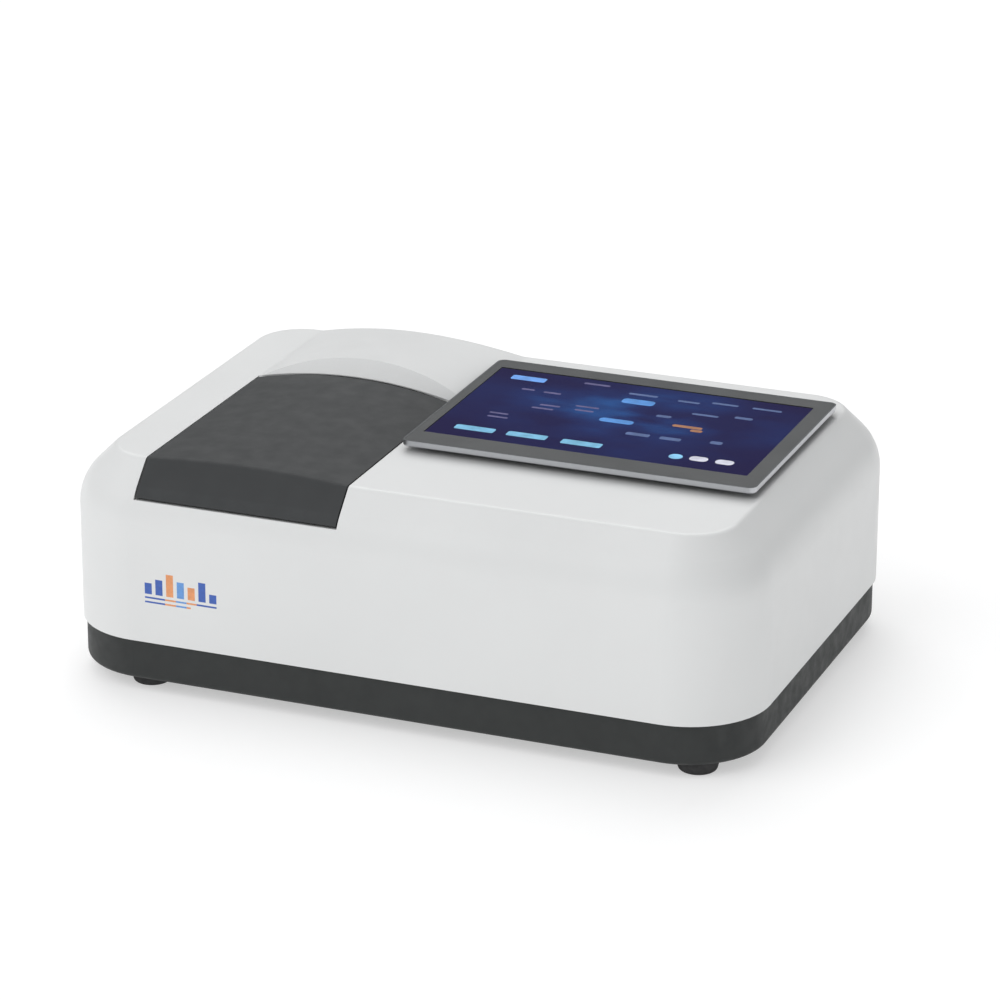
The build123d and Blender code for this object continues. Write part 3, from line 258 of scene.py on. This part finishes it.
def make_materials():
    """Every material of the instrument, by name."""
    made = {}

    def add(name, *args, **sockets):
        """Make a material and keep it under its name."""
        made[name] = Material(name, *args, **sockets)
        return made[name]

    housing = add("housing_white", (0.73, 0.738, 0.735), 0.42, Coat_Weight=0.08, Coat_Roughness=0.25)
    housing.mottle(90 * MM, 0.012, detail=3.0).gloss(18 * MM, 0.36, 0.46).relief(0.9 * MM, 0.012 * MM)
    # Painted shade: the white housing is darkened in its recesses, such as the slope behind the lid.
    housing.relief(0.22 * MM, 0.004 * MM).painted_recess_shade(30 * MM, 0.6)
    lid = add("lid_grey", (0.046, 0.0485, 0.050), 0.6, Specular_IOR_Level=0.2)
    lid.mottle(60 * MM, 0.025, detail=2.0).gloss(12 * MM, 0.55, 0.65).relief(0.35 * MM, 0.012 * MM)
    lid.edge_wear(6 * MM, 0.12, (0.1, 0.105, 0.11))
    base = add("base_grey", (0.031, 0.0335, 0.033), 0.58, Specular_IOR_Level=0.28)
    base.mottle(40 * MM, 0.06, detail=3.0).gloss(9 * MM, 0.48, 0.64).relief(0.4 * MM, 0.03 * MM)
    base.edge_wear(6 * MM, 0.25, (0.13, 0.135, 0.135))
    rubber = add("foot_rubber", (0.028, 0.028, 0.029), 0.8, Specular_IOR_Level=0.25)
    rubber.mottle(6 * MM, 0.2).relief(0.6 * MM, 0.05 * MM)
    rubber.tint(rubber.spread(rubber.noise(3 * MM), 0, 0.18), (0.1, 0.1, 0.1))
    foam = add("seal_foam", (0.018, 0.018, 0.019), 0.95, Specular_IOR_Level=0.1)
    foam.relief(0.5 * MM, 0.25 * MM, detail=1.0).mottle(1.2 * MM, 0.4)
    steel = add("screw_steel", (0.56, 0.57, 0.58), 0.32, 1.0)
    steel.gloss(1.5 * MM, 0.24, 0.42).mottle(3 * MM, 0.08).relief(0.3 * MM, 0.01 * MM, stretch=(1, 1, 6))
    ground = add("ground_steel", (0.74, 0.75, 0.77), 0.16, 1.0)
    ground.gloss(2 * MM, 0.1, 0.24, stretch=(1, 12, 1)).relief(0.15 * MM, 0.004 * MM, stretch=(1, 12, 1))
    panel = add("panel_steel", (0.6, 0.61, 0.62), 0.48)
    # Painted shade: the steel panel is darkened in its inside corners.
    panel.relief(0.5 * MM, 0.03 * MM).mottle(30 * MM, 0.03).gloss(5 * MM, 0.42, 0.56).painted_recess_shade(3 * MM, 0.4)
    anodised = add("black_anodised", (0.032, 0.032, 0.034), 0.5, Specular_IOR_Level=0.4)
    anodised.relief(0.25 * MM, 0.015 * MM).mottle(20 * MM, 0.12).gloss(4 * MM, 0.42, 0.6)
    anodised.edge_wear(3 * MM, 0.35, (0.2, 0.2, 0.21))
    machined = add("cast_aluminium", (0.62, 0.63, 0.64), 0.34, 1.0)
    machined.gloss(3 * MM, 0.28, 0.44, stretch=(8, 1, 1)).relief(0.3 * MM, 0.01 * MM, stretch=(16, 1, 1))
    silver = add("display_silver", (0.5, 0.51, 0.53), 0.33, 1.0)
    silver.relief(0.12 * MM, 0.006 * MM, stretch=(30, 30, 1)).gloss(6 * MM, 0.28, 0.4)
    silver.tint(silver.facing_up(), (0.06, 0.066, 0.07))
    bezel = add("bezel_black", (0.064, 0.068, 0.07), 0.25, Specular_IOR_Level=0.2)
    bezel.gloss(25 * MM, 0.2, 0.27, detail=3.0).mottle(60 * MM, 0.04)
    glass = add("touch_glass", (1.0, 1.0, 1.0), 0.04, Transmission_Weight=1.0, IOR=1.12)
    glass.gloss(30 * MM, 0.03, 0.06, detail=3.0)
    quartz = add("quartz", (0.97, 0.98, 1.0), 0.02, Transmission_Weight=1.0, IOR=1.46)
    quartz.gloss(4 * MM, 0.01, 0.04)
    filters = add("filter_glass", (0.9, 0.45, 0.12), 0.04, Transmission_Weight=1.0, IOR=1.5)
    filters.tint(filters.spread(filters.noise(18 * MM), 0, 1), (0.35, 0.75, 0.3))
    mirror = add("mirror_coat", (0.9, 0.9, 0.92), 0.04, 1.0)
    mirror.gloss(5 * MM, 0.02, 0.07)
    ruled = add("grating_coat", (0.82, 0.78, 0.92), 0.12, 1.0)
    ruled.relief(0.2 * MM, 0.01 * MM, stretch=(1, 1, 40)).mottle(9 * MM, 0.15)
    motor = add("motor_case", (0.03, 0.03, 0.032), 0.4, Specular_IOR_Level=0.5)
    motor.relief(0.4 * MM, 0.02 * MM).mottle(8 * MM, 0.15)
    brass = add("nut_brass", (0.72, 0.5, 0.2), 0.28, 1.0)
    brass.gloss(2 * MM, 0.2, 0.38).mottle(3 * MM, 0.1)
    board = add("board_green", (0.02, 0.13, 0.06), 0.3, Coat_Weight=0.3)
    board.relief(1.5 * MM, 0.03 * MM, detail=0.0)
    board.tint(board.spread(board.noise(1.2 * MM), 0, 0.35, 0.5, 0.56), (0.1, 0.3, 0.12))
    plated = add("port_steel", (0.68, 0.69, 0.7), 0.22, 1.0)
    plated.gloss(2 * MM, 0.16, 0.32).relief(0.3 * MM, 0.006 * MM)
    plastic = add("black_plastic", (0.022, 0.022, 0.023), 0.42, Specular_IOR_Level=0.45)
    plastic.relief(0.3 * MM, 0.015 * MM).gloss(4 * MM, 0.36, 0.5).edge_wear(2 * MM, 0.25, (0.09, 0.09, 0.09))
    made["screen"] = screen_material()
    made["badge_ink"] = badge_material()
    return made


def screen_material():
    """A lit display: near-black navy at the rim, with cloudy blue glows in the middle."""
    low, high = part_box("touch_glass")
    screen = Material("screen", (0.003, 0.003, 0.008), 0.35, Specular_IOR_Level=0.05)
    split = screen.node("ShaderNodeSeparateXYZ")
    screen.link(screen.place, split.inputs["Vector"])
    middle_x, middle_y = low.x * 0.45 + high.x * 0.55, low.y * 0.42 + high.y * 0.58
    reach = screen.node("ShaderNodeCombineXYZ")
    for axis, middle, half in (("X", middle_x, 100 * MM), ("Y", middle_y, 62 * MM)):
        offset = screen.spread(split.outputs[axis], -1, 1, middle - half, middle + half)
        screen.link(offset, reach.inputs[axis])
    away = screen.node("ShaderNodeVectorMath", operation="LENGTH")
    screen.link(reach.outputs["Vector"], away.inputs[0])
    glow = screen.node("ShaderNodeMath", operation="MULTIPLY")
    screen.link(screen.spread(away.outputs["Value"], 1.0, 0.0, 0.1, 1.3), glow.inputs[0])
    clouds = screen.noise(34 * MM, detail=3.0, stretch=(1.7, 1, 1))
    screen.link(screen.spread(clouds, 0.15, 1.15, 0.33, 0.68), glow.inputs[1])
    ramp = screen.node("ShaderNodeValToRGB")
    stops = ramp.color_ramp
    stops.elements[0].position, stops.elements[0].color = 0.0, (0.012, 0.009, 0.06, 1)
    stops.elements[1].position, stops.elements[1].color = 0.9, (0.02, 0.085, 0.28, 1)
    stops.elements.new(0.4).color = (0.014, 0.026, 0.12, 1)
    screen.link(glow.outputs["Value"], ramp.inputs["Fac"])
    screen.link(ramp.outputs["Color"], screen.shader.inputs["Emission Color"])
    screen.set("Emission Strength", 1.0)
    return screen


def badge_material():
    """Printed film: blue bars with two in orange."""
    low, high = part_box("front_badge")
    ink = Material("badge_ink", (0.03, 0.1, 0.42), 0.35, Coat_Weight=0.3)
    split = ink.node("ShaderNodeSeparateXYZ")
    ink.link(ink.place, split.inputs["Vector"])
    across = ink.spread(split.outputs["X"], 0, 1, low.x, high.x)
    ramp = ink.node("ShaderNodeValToRGB")
    ramp.color_ramp.interpolation = "CONSTANT"
    blue, orange, pale = (0.03, 0.1, 0.42, 1), (0.75, 0.3, 0.12, 1), (0.12, 0.3, 0.66, 1)
    elements = ramp.color_ramp.elements
    elements[0].position, elements[0].color = 0.0, blue
    elements[1].position, elements[1].color = 0.28, orange
    for place, colour in ((0.43, pale), (0.58, orange), (0.72, blue)):
        elements.new(place).color = colour
    ink.link(across, ramp.inputs["Fac"])
    ink.link(ramp.outputs["Color"], ink.shader.inputs["Base Color"])
    return ink.mottle(2 * MM, 0.1).relief(0.3 * MM, 0.01 * MM)


# ------------------------------------------------------------------ pieces
def new_piece(name, mesh, material, body="instrument"):
    """Put a mesh in the scene with its material, on a CAD body."""
    mesh.materials.append(material.block)
    piece = bpy.data.objects.new(name, mesh)
    scene.collection.objects.link(piece)
    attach(piece, body)
    return piece


def rounded_plate(bm, centre, size, radius, height, segments=5):
    """Add a flat plate with rounded corners to a bmesh, standing on centre's level."""
    cx, cy, cz = centre
    half_w, half_d = size[0] / 2, size[1] / 2
    radius = min(radius, half_w * 0.98, half_d * 0.98)
    rings = []
    for z in (cz, cz + height):
        ring = []
        for quarter, (sx, sy) in enumerate(((1, 1), (-1, 1), (-1, -1), (1, -1))):
            for step in range(segments + 1):
                angle = math.pi / 2 * (quarter + step / segments)
                x = cx + sx * (half_w - radius) + radius * math.cos(angle)
                y = cy + sy * (half_d - radius) + radius * math.sin(angle)
                ring.append(bm.verts.new((x, y, z)))
        rings.append(ring)
    bm.faces.new(list(reversed(rings[0])))
    bm.faces.new(rings[1])
    count = len(rings[0])
    for i in range(count):
        j = (i + 1) % count
        bm.faces.new((rings[0][i], rings[0][j], rings[1][j], rings[1][i]))


def plates_mesh(name, plates):
    """One mesh of many rounded plates, each given as centre, size, radius and height."""
    bm = bmesh.new()
    for plate in plates:
        rounded_plate(bm, *plate)
    mesh = bpy.data.meshes.new(name)
    bm.to_mesh(mesh)
    bm.free()
    return mesh


def glowing(name, colour, strength):
    """Lit marks on the display, brighter in some places than others."""
    lit = Material(name, tuple(c * 0.3 for c in colour), 0.4, Specular_IOR_Level=0.1)
    lit.set("Emission Color", (*colour, 1))
    glow = lit.spread(lit.noise(7 * MM), strength * 0.8, strength * 1.15)
    lit.link(glow, lit.shader.inputs["Emission Strength"])
    return lit


# What the display shows: groups of rounded marks, each with a colour, a strength and a corner radius. A mark
# is its middle, measured from the lit area's front left corner, and its size, all in millimetres.
SCREEN_MARKS = {
    "buttons": (
        (0.17, 0.42, 0.61),
        1.0,
        1.6,
        ((27.9, 18.4, 27, 8), (63.4, 18.7, 27, 8), (100.7, 17.9, 27, 8)),
    ),
    "title": ((0.14, 0.33, 0.76), 0.95, 1.6, ((24.7, 121.8, 24, 8),)),
    "highlights": ((0.09, 0.27, 0.64), 0.9, 3.0, ((107.4, 105.3, 22, 9), (106.7, 65.7, 23, 7))),
    "status_dot": ((0.22, 0.52, 0.77), 1.0, 4.5, ((163.9, 17.9, 9, 9),)),
    "status_keys": ((0.58, 0.59, 0.67), 1.0, 3.4, ((178.8, 19.0, 12, 8), (195.9, 19.2, 12, 8))),
    "warm_mark": ((0.36, 0.17, 0.09), 0.9, 1.6, ((152.7, 72.1, 20, 4), (160.5, 67.0, 8, 4))),
    "list_rows": (
        (0.13, 0.12, 0.26),
        0.8,
        1.2,
        (
            (70.7, 127.6, 18, 3), (56.6, 77.4, 14, 2.4), (80.1, 83.8, 16, 2.4), (54.0, 70.5, 15, 2.4),
            (80.5, 76.5, 13, 2.4), (31.3, 51.5, 13, 2.4), (33.0, 44.6, 14, 2.4), (49.2, 101.0, 12, 2.6),
            (32.0, 101.8, 9, 2.6),
        ),
    ),
    "graph_marks": (
        (0.10, 0.15, 0.32),
        0.8,
        1.4,
        (
            (105.8, 119.4, 20, 3), (137.8, 117.7, 15, 3), (161.3, 122.0, 18, 3), (189.9, 122.1, 20, 3),
            (181.0, 101.0, 12, 4), (156.0, 97.5, 18, 3), (132.0, 85.5, 10, 4), (128.0, 47.0, 16, 5),
            (150.0, 47.0, 14, 5), (179.5, 50.8, 8, 5),
        ),
    ),
}
MARK_LIFT, MARK_T = 0.05 * MM, 0.12 * MM


def make_screen_marks():
    """Flat lit marks that lie on the panel, under the touch glass."""
    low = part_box("touch_glass")[0]
    for name, (colour, strength, radius, marks) in SCREEN_MARKS.items():
        plates = []
        for across, along, width, depth in marks:
            middle = (low.x + across * MM, low.y + along * MM, low.z + MARK_LIFT)
            plates.append((middle, (width * MM, depth * MM), radius * MM, MARK_T))
        mesh = plates_mesh("screen_" + name, plates)
        new_piece("screen_" + name, mesh, glowing("screen_" + name, colour, strength))


THREAD_PITCH, THREAD_DEPTH = 2.0 * MM, 0.55 * MM
THREAD_STARTS = 4
THREAD_SIDES, THREAD_STEPS = 28, 6  # facets round the screw, and rings along each pitch


def make_lead_screw():
    """The carriage's lead screw with its thread cut, in place of the plain rod."""
    low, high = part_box("lead_screw")
    x, z = (low.x + high.x) / 2, (low.z + high.z) / 2
    outer = (high.x - low.x) / 2
    rows = round((high.y - low.y) / THREAD_PITCH * THREAD_STEPS)
    bm = bmesh.new()
    rings = []
    for row in range(rows + 1):
        y = low.y + (high.y - low.y) * row / rows
        ring = []
        for side in range(THREAD_SIDES):
            turn = side / THREAD_SIDES
            phase = (y / THREAD_PITCH + THREAD_STARTS * turn) % 1.0
            cut = THREAD_DEPTH * min(1.0, max(0.0, 1.6 - 3.2 * abs(phase - 0.5)))
            radius = outer - cut
            angle = 2 * math.pi * turn
            ring.append(bm.verts.new((x + radius * math.cos(angle), y, z + radius * math.sin(angle))))
        rings.append(ring)
    for near, far in zip(rings, rings[1:]):
        for side in range(THREAD_SIDES):
            after = (side + 1) % THREAD_SIDES
            bm.faces.new((near[side], far[side], far[after], near[after]))
    bm.faces.new(rings[0])
    bm.faces.new(list(reversed(rings[-1])))
    bmesh.ops.recalc_face_normals(bm, faces=bm.faces)
    mesh = bpy.data.meshes.new("threaded_screw")
    bm.to_mesh(mesh)
    bm.free()
    piece = new_piece("threaded_screw", mesh, MATERIALS["ground_steel"], "screw")
    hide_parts("lead_screw")


# ------------------------------------------------------------------ assemble
make_camera()
make_studio()
MATERIALS = make_materials()
for entry in frame["record"]["subparts"]:
    node = NODES[entry["node"]]
    node.data.materials.clear()
    node.data.materials.append(MATERIALS[entry["material_slot"]].block)
make_screen_marks()
make_lead_screw()
